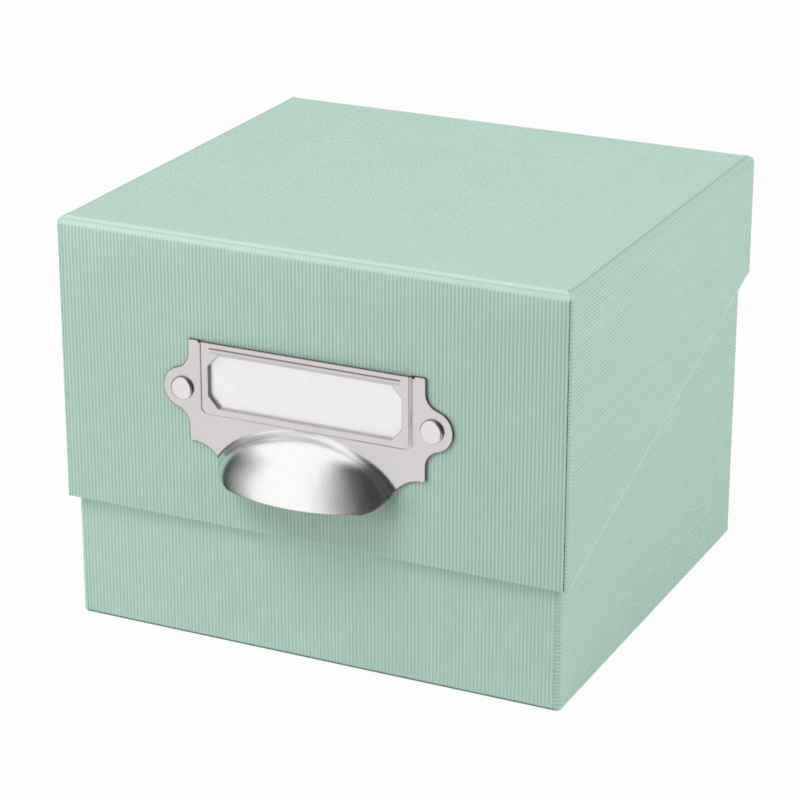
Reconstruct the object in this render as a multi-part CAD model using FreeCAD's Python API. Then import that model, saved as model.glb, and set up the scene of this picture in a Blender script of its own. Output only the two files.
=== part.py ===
"""Photo box: a paper-covered board box with a hinged flip-top lid and a stamped metal label pull.

Millimetres. The origin is the centre of the underside, +Z is up, the front with the pull faces -Y.
"""
import FreeCAD
import Part
import math
import os

Vector = FreeCAD.Vector

# Lid: outer sizes over the cover paper
lid_width = 180.0
lid_depth = 164.0
box_height = 141.0
front_edge_height = 43.3    # lower edge of the lid's front skirt above the table
back_edge_height = 98.2     # lower edge of the lid's back skirt, and height of the hinge fold
lid_top_radius = 3.0
lid_corner_radius = 1.0

# Board and paper
lid_board = 1.6
body_board = 2.0
cover_paper = 0.3
lining_paper = 0.15
base_sheet_paper = 0.2
turn_in = 14.0              # how far the cover paper runs over an edge onto the other face
base_turn_in = 16.0
base_sheet_margin = 3.0
lining_seam = 0.1           # gap between a lining's edge and the turned-in cover paper

# Body
lid_clearance = 0.4         # between the lid's inner face and the body, all round
body_corner_radius = 2.0
body_bottom_radius = 1.5
back_rim_gap = 0.6          # between the back wall's rim and the lid's lining
rivet_rim_gap = 1.3         # between the front wall's rim and the rivets' washers

# Hinge strip: one leaf on the body's back wall, one inside the lid's back skirt
strip_paper = 0.15
strip_length = 160.0
leaf_height = 20.0
fold_gap = 0.4              # from the hinge axis to the leaves' lower ends

# Label pull: one stamped sheet
sheet = 0.8
cup_lip_rise = 17.4         # the cup's lip above the lid's front edge
cup_half_width = 34.0
cup_depth = 15.0
cup_crown_radius = 52.0     # the cup's lip seen from above: a wide arc with a tighter one at each end
cup_end_radius = 30.0
cup_axis_back = 7.0         # the cup is turned about an axis this far behind the lid's front
cup_fillet = 1.5
lip_flat_half = 22.6
lip_corner_radius = 8.8
scallop_rise = 11.3         # the plate's lower edge above the lip
scallop_radius = 12.2
scallop_end_rise = 6.8      # height above the lip where the scallop runs out into the cup's side
lip_cut_rise = 6.3          # the lip's rounded corners are cut up to this height above it
plate_height = 34.8
plate_half_width = 42.0
plate_corner_radius = 0.8
ear_half_width = 44.2       # to a rivet's centre
ear_radius = 7.1
ear_blend_radius = 5.6
rivet_rise = 28.9           # a rivet's centre above the lip
frame_rise = 1.0            # the label frame stands this far off the plate
frame_half_width = 36.5
frame_slope = 0.9
frame_bottom_rise = 22.0    # the frame's lower edge above the lip
frame_corner_radius = 1.6
frame_slit = 0.6            # between the frame's upper end and each side of the plate
slit_depth = 0.9
window_half_width = 34.2
window_height = 18.2
window_margin = 2.0         # from the frame's lower edge to the window
window_chamfer_x = 3.6
window_chamfer_z = 4.0
groove_half_length = 33.4
groove_width = 0.6
groove_depth = 0.3
groove_drop = 1.9           # from the frame's top edge to the groove

# Label card
card_thickness = 0.4
card_clearance = 0.2
card_back_gap = 0.05
card_drop = 0.5             # from the frame's top edge to the card's

# Rivets
head_radius = 3.95
head_height = 1.3
head_bevel = 0.7
shank_radius = 1.5
shank_clearance = 0.05
washer_radius = 3.0
washer_thickness = 0.4
clinch_radius = 2.2
clinch_height = 0.6
clinch_bevel = 0.35

# Sizes that follow from the ones above
lid_wall = cover_paper + lid_board + cover_paper
overhang = lid_wall + lid_clearance
body_width = lid_width - 2 * overhang
body_depth = lid_depth - 2 * overhang
body_wall = cover_paper + body_board + cover_paper
lid_inner_top = box_height - cover_paper - lid_board - lining_paper
front_y = -lid_depth / 2
cup_lip_z = front_edge_height + cup_lip_rise
rivet_z = cup_lip_z + rivet_rise
frame_bottom_z = cup_lip_z + frame_bottom_rise
plate_bottom_z = cup_lip_z + scallop_rise
plate_top_z = plate_bottom_z + plate_height
back_rim_z = lid_inner_top - back_rim_gap
front_rim_z = rivet_z - washer_radius - rivet_rim_gap
board_z = base_sheet_paper + cover_paper
floor_z = board_z + body_board
far = 400.0                 # longer than anything that a cutting solid crosses
through = 50.0              # how far a cutting solid runs on past an open edge
touch = 0.001               # points closer than this lie on each other


def rounded_wire(corners, place):
    """A closed wire through corners (u, v, radius); place turns (u, v) into a point."""
    count = len(corners)
    ends = []
    for i, (u, v, radius) in enumerate(corners):
        here = Vector(u, v, 0)
        to_last = Vector(*corners[i - 1][:2], 0) - here
        to_next = Vector(*corners[(i + 1) % count][:2], 0) - here
        to_last.normalize()
        to_next.normalize()
        if radius <= 0:
            ends.append((here, None, here))
            continue
        half = to_last.getAngle(to_next) / 2
        along = radius / math.tan(half)
        middle = to_last + to_next
        middle.normalize()
        centre = here + middle * (radius / math.sin(half))
        ends.append((here + to_last * along, centre - middle * radius, here + to_next * along))
    edges = []
    for i, (start, crown, end) in enumerate(ends):
        if crown is not None:
            edges.append(Part.Arc(place(start), place(crown), place(end)).toShape())
        following = ends[(i + 1) % count][0]
        if end.distanceToPoint(following) > touch:
            edges.append(Part.LineSegment(place(end), place(following)).toShape())
    return Part.Wire(edges)


def prism_x(corners, half_width):
    """A profile of (y, z, radius) corners, extruded along X to both sides."""
    wire = rounded_wire(corners, lambda p: Vector(-half_width, p.x, p.y))
    return Part.Face(wire).extrude(Vector(2 * half_width, 0, 0))


def prism_y(corners, y0, y1):
    """A profile of (x, z, radius) corners, extruded along Y."""
    wire = rounded_wire(corners, lambda p: Vector(p.x, y0, p.y))
    return Part.Face(wire).extrude(Vector(0, y1 - y0, 0))


def prism_z(half_width, half_depth, radius, z0, z1):
    """A rectangle with rounded corners, extruded along Z."""
    corners = [(-half_width, -half_depth, radius), (half_width, -half_depth, radius),
               (half_width, half_depth, radius), (-half_width, half_depth, radius)]
    wire = rounded_wire(corners, lambda p: Vector(p.x, p.y, z0))
    return Part.Face(wire).extrude(Vector(0, 0, z1 - z0))


def box(x0, y0, z0, x1, y1, z1):
    return Part.makeBox(x1 - x0, y1 - y0, z1 - z0, Vector(x0, y0, z0))


def cylinder_y(radius, x, z, y0, y1):
    return Part.makeCylinder(radius, y1 - y0, Vector(x, y0, z), Vector(0, 1, 0))


def lid_block(inset, lift=0.0):
    """The lid's outer form, solid, moved in by inset, with its lower edges raised by lift."""
    half_w = lid_width / 2 - inset
    half_d = lid_depth / 2 - inset
    top = box_height - inset
    top_radius = max(lid_top_radius - inset, 0)
    corner_radius = max(lid_corner_radius - inset, 0)
    slant_y = lid_depth / 2 - lid_wall
    low_front = front_edge_height + lift
    low_back = back_edge_height + lift
    side = [(-half_d, low_front, 0), (-slant_y, low_front, 0), (slant_y, low_back, 0),
            (half_d, low_back, 0), (half_d, top, top_radius), (-half_d, top, top_radius)]
    if half_d <= slant_y:
        side = side[1:3] + [(half_d, top, top_radius), (-half_d, top, top_radius)]
    front = [(-half_w, 0, 0), (half_w, 0, 0), (half_w, top, top_radius), (-half_w, top, top_radius)]
    block = prism_x(side, half_w)
    block = block.common(prism_y(front, -half_d, half_d))
    return block.common(prism_z(half_w, half_d, corner_radius, 0, box_height))


def body_block(inset, rim_drop=0.0, base_z=0.0):
    """The body's outer form, solid, moved in by inset, with its rim lowered by rim_drop."""
    half_w = body_width / 2 - inset
    half_d = body_depth / 2 - inset
    slant_y = body_depth / 2 - body_wall
    corner_radius = max(body_corner_radius - inset, 0)
    bottom_radius = max(body_bottom_radius - inset, 0)
    rim_front = front_rim_z - rim_drop
    rim_back = back_rim_z - rim_drop
    side = [(-half_d, base_z, bottom_radius), (half_d, base_z, bottom_radius), (half_d, rim_back, 0),
            (slant_y, rim_back, 0), (-slant_y, rim_front, 0), (-half_d, rim_front, 0)]
    if half_d <= slant_y:
        side = side[:2] + side[3:5]
    front = [(-half_w, base_z, bottom_radius), (half_w, base_z, bottom_radius),
             (half_w, box_height, 0), (-half_w, box_height, 0)]
    block = prism_x(side, half_w)
    block = block.common(prism_y(front, -half_d, half_d))
    return block.common(prism_z(half_w, half_d, corner_radius, base_z, box_height))


def split_walls(shell, inner_w, inner_d):
    """Cut a four-sided shell into its front, back, left and right boards, butted at the corners."""
    front = shell.common(box(-far, -far, -far, far, -inner_d, far))
    back = shell.common(box(-far, inner_d, -far, far, far, far))
    left = shell.common(box(-far, -inner_d, -far, -inner_w, inner_d, far))
    right = shell.common(box(inner_w, -inner_d, -far, far, inner_d, far))
    return front, back, left, right


def rivet_holes(radius):
    """Bores for both rivets through the lid's front."""
    holes = [cylinder_y(radius, side * ear_half_width, rivet_z, front_y - through, front_y + through)
             for side in (-1, 1)]
    return Part.makeCompound(holes)


def make_lid_boards():
    inset = cover_paper + lid_board
    ceiling = box_height - inset
    inner_w = lid_width / 2 - inset
    inner_d = lid_depth / 2 - inset
    block = lid_block(cover_paper, cover_paper)
    top = block.common(box(-far, -far, ceiling, far, far, far))
    shell = block.cut(box(-inner_w, -inner_d, -far, inner_w, inner_d, ceiling))
    shell = shell.common(box(-far, -far, -far, far, far, ceiling))
    front, back, left, right = split_walls(shell, inner_w, inner_d)
    front = front.cut(rivet_holes(shank_radius + shank_clearance))
    return {"lid_top_board": top, "lid_front_board": front, "lid_back_board": back,
            "lid_left_board": left, "lid_right_board": right}


def make_lid_cover():
    """Cover paper: outside, under the boards' lower edges and a turned-in band inside."""
    inner = cover_paper + lid_board
    hollow = lid_block(inner + cover_paper, -through)
    skin = lid_block(0).cut(lid_block(cover_paper, cover_paper)).cut(hollow)
    band = lid_block(inner, cover_paper).cut(hollow)
    band = band.cut(lid_block(0, cover_paper + turn_in))
    cover = skin.fuse(band).removeSplitter()
    return cover.cut(rivet_holes(shank_radius + shank_clearance))


def make_lid_lining():
    inner = cover_paper + lid_board
    lift = cover_paper + turn_in + lining_seam
    lining = lid_block(inner, lift).cut(lid_block(inner + lining_paper, -through))
    return lining.cut(rivet_holes(shank_radius + shank_clearance))


def make_body_boards():
    inset = cover_paper + body_board
    inner_w = body_width / 2 - inset
    inner_d = body_depth / 2 - inset
    block = body_block(cover_paper, cover_paper, board_z)
    base = block.common(box(-far, -far, -far, far, far, floor_z))
    shell = block.cut(box(-inner_w, -inner_d, floor_z, inner_w, inner_d, far))
    shell = shell.common(box(-far, -far, floor_z, far, far, far))
    front, back, left, right = split_walls(shell, inner_w, inner_d)
    return {"base_board": base, "front_wall_board": front, "back_wall_board": back,
            "left_wall_board": left, "right_wall_board": right}


def make_body_cover():
    """Cover paper: the walls outside, over the rims, a band inside and a margin under the base."""
    inner = cover_paper + body_board
    hollow = body_block(inner + cover_paper, -through, board_z)
    skin = body_block(0, 0, base_sheet_paper).cut(body_block(cover_paper, cover_paper, board_z))
    skin = skin.cut(hollow)
    under_w = body_width / 2 - base_turn_in
    under_d = body_depth / 2 - base_turn_in
    skin = skin.cut(box(-under_w, -under_d, -far, under_w, under_d, floor_z))
    band = body_block(inner, cover_paper, board_z).cut(hollow)
    band = band.cut(body_block(0, cover_paper + turn_in))
    return skin.fuse(band).removeSplitter()


def make_base_sheet():
    half_w = body_width / 2 - base_sheet_margin
    half_d = body_depth / 2 - base_sheet_margin
    return prism_z(half_w, half_d, body_corner_radius, 0, base_sheet_paper)


def make_body_lining():
    """The inside paper on the four walls, from the floor up to the turned-in cover paper."""
    inner = cover_paper + body_board
    drop = cover_paper + turn_in + lining_seam
    return body_block(inner, drop, floor_z).cut(body_block(inner + lining_paper, -through))


def make_floor_lining():
    half_w = body_width / 2 - cover_paper - body_board - lining_paper - lining_seam
    half_d = body_depth / 2 - cover_paper - body_board - lining_paper - lining_seam
    return prism_z(half_w, half_d, 0, floor_z, floor_z + lining_paper)


def make_hinge_leaves():
    z0 = back_edge_height + fold_gap
    z1 = z0 + leaf_height
    half = strip_length / 2
    wall_y = body_depth / 2
    skirt_y = lid_depth / 2 - lid_wall
    body_leaf = box(-half, wall_y, z0, half, wall_y + strip_paper, z1)
    lid_leaf = box(-half, skirt_y - strip_paper, z0, half, skirt_y, z1)
    return {"hinge_leaf_body": body_leaf, "hinge_leaf_lid": lid_leaf}


def ear_blend(top):
    """Where the concave blend between the plate's side and an ear starts and ends, and its centre."""
    x = plate_half_width + ear_blend_radius
    reach = ear_radius + ear_blend_radius
    rise = math.sqrt(reach ** 2 - (x - ear_half_width) ** 2)
    centre = Vector(x, rivet_z + (rise if top else -rise), 0)
    ear = Vector(ear_half_width, rivet_z, 0)
    towards = centre - ear
    towards.normalize()
    return Vector(plate_half_width, centre.y, 0), ear + towards * ear_radius, centre


def arc_about(centre, start, end, radius):
    """The short arc from start to end about centre, as its three points."""
    middle = (start - centre) + (end - centre)
    middle.normalize()
    return start, centre + middle * radius, end


def pull_outline():
    """The right half of the pull's outline, from the plate's top edge round and down past the cup."""
    round_r = plate_corner_radius
    side = plate_half_width
    top_start, top_end, top_centre = ear_blend(True)
    low_start, low_end, low_centre = ear_blend(False)
    corner_top = Vector(side - round_r, plate_top_z - round_r, 0)
    corner_low = Vector(side - round_r, plate_bottom_z + round_r, 0)
    scallop = Vector(side - round_r, plate_bottom_z - scallop_radius, 0)
    end_x = cup_half_width_at(scallop_end_rise)
    scallop_z = scallop.y + math.sqrt(scallop_radius ** 2 - (scallop.x - end_x) ** 2)
    crown = Vector(corner_top.x, plate_top_z, 0)
    foot = Vector(corner_low.x, plate_bottom_z, 0)
    end = Vector(end_x, scallop_z, 0)
    ear_tip = Vector(ear_half_width + ear_radius, rivet_z, 0)
    return [
        ("line", Vector(0, plate_top_z, 0), crown),
        ("arc", *arc_about(corner_top, crown, Vector(side, corner_top.y, 0), round_r)),
        ("line", Vector(side, corner_top.y, 0), top_start),
        ("arc", *arc_about(top_centre, top_start, top_end, ear_blend_radius)),
        ("arc", top_end, ear_tip, low_end),
        ("arc", *arc_about(low_centre, low_end, low_start, ear_blend_radius)),
        ("line", low_start, Vector(side, corner_low.y, 0)),
        ("arc", *arc_about(corner_low, Vector(side, corner_low.y, 0), foot, round_r)),
        ("arc", *arc_about(scallop, foot, end, scallop_radius)),
        ("line", end, Vector(end_x, 0, 0)),
        ("line", Vector(end_x, 0, 0), Vector(0, 0, 0)),
    ]


def cup_end_centre():
    """Centre of the end arc in the cup's profile: across, and out from the lid's front."""
    crown_y = cup_depth - cup_crown_radius
    reach = math.hypot(cup_half_width, crown_y)
    apart = cup_crown_radius - cup_end_radius
    along = (apart ** 2 - cup_end_radius ** 2 + reach ** 2) / (2 * reach)
    aside = math.sqrt(apart ** 2 - along ** 2)
    across = (along * cup_half_width + aside * crown_y) / reach
    out = crown_y + (aside * cup_half_width - along * crown_y) / reach
    return across, out


def cup_half_width_at(rise):
    """Half the cup's width in the plane of the lid's front, this high above its lip."""
    across, out = cup_end_centre()
    drop = math.hypot(rise, cup_axis_back) - cup_axis_back - out
    return across + math.sqrt(cup_end_radius ** 2 - drop ** 2)


def trimmed_form():
    """All that is kept of the drawn blank, seen from the front; the cup's lip is cut afterwards."""
    edges = []
    for mirror in (1, -1):
        for kind, *points in pull_outline():
            placed = [Vector(mirror * p.x, front_y, p.y) for p in points]
            if kind == "line":
                edges.append(Part.makeLine(*placed))
            else:
                edges.append(Part.Arc(*placed).toShape())
    wire = Part.Wire(Part.__sortEdges__(edges))
    return Part.Face(wire).extrude(Vector(0, -far, 0))


def frame_edge(out, shrink):
    """The sloped frame's half width and lower edge where it stands out mm off the lid."""
    spread = (sheet + frame_rise - out) * frame_slope / frame_rise - shrink
    return frame_half_width + spread, frame_bottom_z - spread


def frame_form(shrink, depth):
    """The label frame's sloped form, open at the top: a loft from the lid out to its flat face."""
    wires = []
    for out in (0.0, depth):
        half, low = frame_edge(out, shrink)
        y = front_y - out
        corners = [(-half, low, frame_corner_radius), (half, low, frame_corner_radius),
                   (half, plate_top_z + frame_rise, 0), (-half, plate_top_z + frame_rise, 0)]
        wires.append(rounded_wire(corners, lambda p: Vector(p.x, y, p.y)))
    return Part.makeLoft(wires, True, True)


def cup_form(shrink):
    """The cup's drawn form: a profile of three arcs turned about an axis behind the lid's front."""
    across, out = cup_end_centre()
    axis_y = front_y + cup_axis_back

    def at(centre_x, centre_out, radius, turn):
        x = centre_x + radius * math.sin(turn)
        return Vector(x, front_y - centre_out - radius * math.cos(turn), cup_lip_z)

    join = math.atan2(across, out - cup_depth + cup_crown_radius)
    tip = math.atan2(cup_half_width - across, -out)
    crown = [at(0, cup_depth - cup_crown_radius, cup_crown_radius - shrink, turn)
             for turn in (-join, 0, join)]
    right = [at(across, out, cup_end_radius - shrink, turn) for turn in (join, (join + tip) / 2, tip)]
    left = [Vector(-point.x, point.y, point.z) for point in reversed(right)]
    foot = [Vector(point.x, axis_y, cup_lip_z) for point in (right[-1], left[0])]
    outline = [Part.Arc(*arc).toShape() for arc in (left, crown, right)]
    outline += [Part.makeLine(right[-1], foot[0]), Part.makeLine(*foot), Part.makeLine(foot[1], left[0])]
    face = Part.Face(Part.Wire(outline))
    return face.revolve(foot[0], Vector(1, 0, 0), 360)


def below_lip():
    """Everything under the cup's lip, which is level in the middle and rises to both ends."""
    reach = lip_flat_half + lip_corner_radius
    corners = [(-reach, cup_lip_z, lip_corner_radius), (reach, cup_lip_z, lip_corner_radius),
               (reach, far, 0), (-reach, far, 0)]
    keep = prism_y(corners, -far, far)
    return box(-far, -far, -far, far, far, cup_lip_z + lip_cut_rise).cut(keep)


def make_window():
    half = window_half_width
    low = frame_bottom_z + window_margin
    high = low + window_height
    dx = window_chamfer_x
    dz = window_chamfer_z
    corners = [(-half + dx, low, 0), (half - dx, low, 0), (half, low + dz, 0), (half, high - dz, 0),
               (half - dx, high, 0), (-half + dx, high, 0), (-half, high - dz, 0), (-half, low + dz, 0)]
    return prism_y(corners, front_y - through, front_y + through)


def make_groove():
    """A pressed crease along the frame's top rail."""
    z = plate_top_z - groove_drop
    y = front_y - sheet - frame_rise
    mouth = y - groove_depth
    corners = [(mouth, z - groove_width, 0), (mouth, z + groove_width, 0), (y + groove_depth, z, 0)]
    return prism_x(corners, groove_half_length)


def make_label_pull():
    """One sheet: drawn for the cup, trimmed to its outline, with the raised label frame and its window."""
    in_front = box(-far, -far, -far, far, front_y, plate_top_z)
    cup = cup_form(0).common(in_front)
    blank = box(-far, front_y - sheet, -far, far, front_y, plate_top_z).fuse(cup)
    rim = [edge for edge in blank.Edges if is_cup_rim(edge, cup.Shells[0])]
    pull = blank.makeFillet(cup_fillet, rim).common(trimmed_form())
    pull = pull.cut(cup_form(sheet))
    pull = pull.cut(below_lip())
    pull = pull.fuse(frame_form(0, sheet + frame_rise).common(in_front))
    pull = pull.cut(frame_form(sheet, frame_rise))
    pull = pull.cut(make_window())
    pull = pull.cut(make_groove())
    for side in (-1, 1):
        x = side * (frame_edge(sheet, 0)[0] + frame_slit / 2)
        half = frame_slit / 2
        pull = pull.cut(box(x - half, -far, plate_top_z - slit_depth, x + half, far, far))
    return pull.cut(rivet_holes(shank_radius + shank_clearance)).removeSplitter()


def is_cup_rim(edge, cup_shell):
    """Whether an edge lies where the cup's form meets the plate's front face."""
    middle = edge.valueAt((edge.FirstParameter + edge.LastParameter) / 2)
    points = [middle] + [vertex.Point for vertex in edge.Vertexes]
    in_face = all(abs(point.y - front_y + sheet) < touch for point in points)
    return in_face and cup_shell.distToShape(Part.Vertex(middle))[0] < touch


def make_label_card():
    """The bare card behind the window, which slides up out of the frame."""
    half, low = frame_edge(card_back_gap + card_thickness, sheet + card_clearance)
    corners = [(-half, low, frame_corner_radius), (half, low, frame_corner_radius),
               (half, plate_top_z - card_drop, 0), (-half, plate_top_z - card_drop, 0)]
    y = front_y - card_back_gap
    return prism_y(corners, y - card_thickness, y)


def make_rivet(side):
    """Head, shank and the clinched end inside the lid, turned about the shank's axis."""
    head_y = front_y - sheet
    crown_y = head_y - head_height
    seat_y = front_y + cover_paper + lid_board + lining_paper + washer_thickness
    tail_y = seat_y + clinch_height
    x = side * ear_half_width
    outline = [(0, crown_y), (head_radius - head_bevel, crown_y), (head_radius, crown_y + head_bevel),
               (head_radius, head_y), (shank_radius, head_y), (shank_radius, seat_y),
               (clinch_radius, seat_y), (clinch_radius, tail_y - clinch_bevel),
               (clinch_radius - clinch_bevel, tail_y), (0, tail_y), (0, crown_y)]
    wire = Part.makePolygon([Vector(x + radius, y, rivet_z) for radius, y in outline])
    return Part.Face(wire).revolve(Vector(x, 0, rivet_z), Vector(0, 1, 0), 360)


def make_washer(side):
    y0 = front_y + cover_paper + lid_board + lining_paper
    x = side * ear_half_width
    disc = cylinder_y(washer_radius, x, rivet_z, y0, y0 + washer_thickness)
    return disc.cut(rivet_holes(shank_radius + shank_clearance))


def build_nodes():
    nodes = {}
    nodes.update(make_body_boards())
    nodes["body_cover"] = make_body_cover()
    nodes["base_sheet"] = make_base_sheet()
    nodes["body_lining"] = make_body_lining()
    nodes["floor_lining"] = make_floor_lining()
    nodes.update(make_lid_boards())
    nodes["lid_cover"] = make_lid_cover()
    nodes["lid_lining"] = make_lid_lining()
    nodes.update(make_hinge_leaves())
    nodes["label_pull"] = make_label_pull()
    nodes["label_card"] = make_label_card()
    nodes["rivets"] = Part.makeCompound([make_rivet(-1), make_rivet(1)])
    nodes["rivet_washers"] = Part.makeCompound([make_washer(-1), make_washer(1)])
    return nodes


def main():
    os.makedirs("parts", exist_ok=True)
    for name, shape in build_nodes().items():
        solids = shape.Solids
        volume = sum(solid.Volume for solid in solids)
        print("%-18s solids %d, valid %s, %.1f mm3" % (name, len(solids), shape.isValid(), volume))
        kept = solids[0] if len(solids) == 1 else Part.makeCompound(solids)
        kept.exportStep("parts/%s.step" % name)


main()
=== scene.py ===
"""Photo box: the looks of its ribbed paper, stamped label pull, hinge strip and studio."""
import bmesh
import bpy
import math
import random
from mathutils import Matrix, Vector
from mathutils.kdtree import KDTree

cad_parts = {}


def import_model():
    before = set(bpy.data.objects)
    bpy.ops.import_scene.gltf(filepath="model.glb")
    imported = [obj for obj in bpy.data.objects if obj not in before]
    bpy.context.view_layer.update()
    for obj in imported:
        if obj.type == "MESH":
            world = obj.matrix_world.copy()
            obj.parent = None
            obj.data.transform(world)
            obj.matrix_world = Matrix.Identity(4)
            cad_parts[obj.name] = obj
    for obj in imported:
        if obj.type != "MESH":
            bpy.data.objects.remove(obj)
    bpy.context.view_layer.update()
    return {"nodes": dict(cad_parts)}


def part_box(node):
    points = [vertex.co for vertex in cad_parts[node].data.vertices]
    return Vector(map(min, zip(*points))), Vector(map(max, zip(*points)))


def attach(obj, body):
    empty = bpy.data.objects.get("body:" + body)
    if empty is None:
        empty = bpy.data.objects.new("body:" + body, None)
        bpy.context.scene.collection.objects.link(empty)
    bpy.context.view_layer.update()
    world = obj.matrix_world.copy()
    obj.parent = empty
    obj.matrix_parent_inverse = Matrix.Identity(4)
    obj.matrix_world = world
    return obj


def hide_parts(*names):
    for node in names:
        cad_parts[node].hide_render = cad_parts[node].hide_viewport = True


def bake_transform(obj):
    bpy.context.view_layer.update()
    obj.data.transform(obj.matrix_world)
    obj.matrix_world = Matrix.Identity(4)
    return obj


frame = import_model()
mm = 0.001
sharp_angle = 40

# Cover paper, in millimetres
paper_margin = 0.3  # how far it reaches past a board's end
rib_pitch = 1.3
rib_depth = 0.16
rib_step = rib_pitch / 6
fold_radius = 0.4
turn_in = 14.0
seam_gap = 0.22
seam_step = 0.25
seam_tuck = 1.5
seam_strip = 2.0
seam_row_step = 0.5
wall_step = 12.0
crease_start = 1.0  # the facets of a rounding grow from here on beside a corner
crease_grow = 6.0
crease_fade = 7.0
# how wide the painted highlight along an open edge fades out
highlight_width = 0.6

# Cover paper, counts, seeds and shares
groove_count = 97
groove_spread = 0.12
groove_seed = 5
seam_seed = 31
highlight_seed = 57
folded_ribs = 0.3  # of the ribs' depth that stays where the paper is folded
stretched_flat = 0.85  # of the ribs' depth that goes where the paper is stretched
stretched_paint = 0.4  # of their painted groove shade that stays there
closed_seam = 0.3  # of a seam's painted shade on the left, where it is well closed

# Cover paper, a seam's rough edge in shares of its gap: at least, by a slow drift, by nicks
cut_least = 0.7
cut_drift = 1.3
cut_nicks = 0.6
drift_kept = 0.75

# Cover paper, painted marks in shares of the groove's colour, which is painted shade, or below 0 of
# the highlight colour, a painted highlight; the tones set the painted groove shade per face, as the
# light falls on it
fold_highlight = 0.5
least_highlight = 0.3
top_tone = 1.1
side_tone = 1.3
end_facet_highlight = -1.1
end_crease_shade = 0.8
side_facet = 1.4
side_facet_fall = 0.8
side_crease = 0.5
crease_width = 0.07

# Cover paper, turns in radians up a rounding from its wall
# where painted shade along the closed end's rounding starts and fades in
scuff_start = 0.06
scuff_fade = 0.25
scuff_flat = 0.4
seam_end = 0.7


def read_box(node):
    """A node's lowest and highest corners in millimetres."""
    low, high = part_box(node)
    return low / mm, high / mm


lid_low, lid_high = read_box("lid_cover")
body_low, body_high = read_box("body_cover")
back_skirt_low = read_box("lid_back_board")[0].z - paper_margin
front_rim = read_box("front_wall_board")[1].z + paper_margin
front_y = lid_low.y

uneven = random.Random(groove_seed)
groove_depths = [1 - groove_spread * uneven.random() for _ in range(groove_count)]


def rib(u):
    """Height of the ribbed paper at u across the ribs: 0 on a crest and below 0 in a groove."""
    depth = rib_depth * groove_depths[math.floor(u / rib_pitch) % len(groove_depths)]
    return -depth * (0.5 - 0.5 * math.cos(2 * math.pi * u / rib_pitch))


def spaced(start, end, step):
    """Values from start to end, both included, at most step apart."""
    count = max(1, math.ceil(abs(end - start) / step))
    return [start + (end - start) * i / count for i in range(count + 1)]


def clamp(value):
    """The value, kept between 0 and 1."""
    return min(1, max(0, value))


def bell(value, width):
    """1 at a value of 0, and falling off over the width."""
    return math.exp(-(value / width) ** 2)


def quarter(steps):
    """Angles from 0 to a quarter turn."""
    return [math.pi / 2 * i / steps for i in range(steps + 1)]


def grid_quads(start, rows, columns):
    """Quads over points that were added row by row from index start."""
    quads = []
    for j in range(rows - 1):
        for i in range(columns - 1):
            a = start + j * columns + i
            quads.append((a, a + 1, a + columns + 1, a + columns))
    return quads


def add_object(name, data):
    """A new object in the scene."""
    made = bpy.data.objects.new(name, data)
    bpy.context.scene.collection.objects.link(made)
    return made


class Sheet:
    """Points in millimetres, each with a groove value (how dark it is painted: painted shade above
    0, a painted highlight below 0) and a polish value, and faces, for one mesh.
    """

    def __init__(self):
        self.points = []
        self.grooves = []
        self.polishes = []
        self.faces = []

    def add(self, point, groove=0.0, polish=0.0):
        """One more point with its values."""
        self.points.append(point)
        self.grooves.append(groove)
        self.polishes.append(polish)

    def grid(self, start, rows, columns, flip):
        """Faces over points that were added row by row from index start."""
        for quad in grid_quads(start, rows, columns):
            self.faces.append(quad[::-1] if flip else quad)

    def build(self, name, material, sharp=sharp_angle, weld=0.008):
        """A welded mesh object with smooth shading up to a sharp angle in degrees."""
        mesh = bpy.data.meshes.new(name)
        mesh.from_pydata([[c * mm for c in p] for p in self.points], [], self.faces)
        for key, values in (("groove", self.grooves), ("polish", self.polishes)):
            mesh.attributes.new(key, "FLOAT", "POINT").data.foreach_set("value", values)
        work = bmesh.new()
        work.from_mesh(mesh)
        bmesh.ops.remove_doubles(work, verts=work.verts, dist=weld * mm)
        bmesh.ops.dissolve_degenerate(work, edges=work.edges, dist=weld * mm / 4)
        loose = [vertex for vertex in work.verts if not vertex.link_faces]
        bmesh.ops.delete(work, geom=loose, context="VERTS")
        work.to_mesh(mesh)
        work.free()
        mesh.shade_smooth()
        mesh.set_sharp_from_angle(angle=math.radians(sharp))
        mesh.materials.append(material)
        return add_object(name, mesh)


def rib_places(first, last):
    """Places across the ribs from first to last: both ends and every rib sample between."""
    low = math.floor(first / rib_step) + 1
    high = math.ceil(last / rib_step) - 1
    return [first] + [i * rib_step for i in range(low, high + 1)] + [last]


def rounding_mark(turned, facet, crease_line):
    """How dark the paper is painted on the rounding: on its two facets, and along their crease; a
    value below 0 paints it lighter.
    """
    across = math.acos(turned) / (math.pi / 2)
    on_facet = min(1, 5 * across, 5 * (1 - across))
    on_crease = bell(across - 0.5, crease_width)
    return facet * on_facet * (1 - on_crease) + crease_line * on_crease


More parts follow.
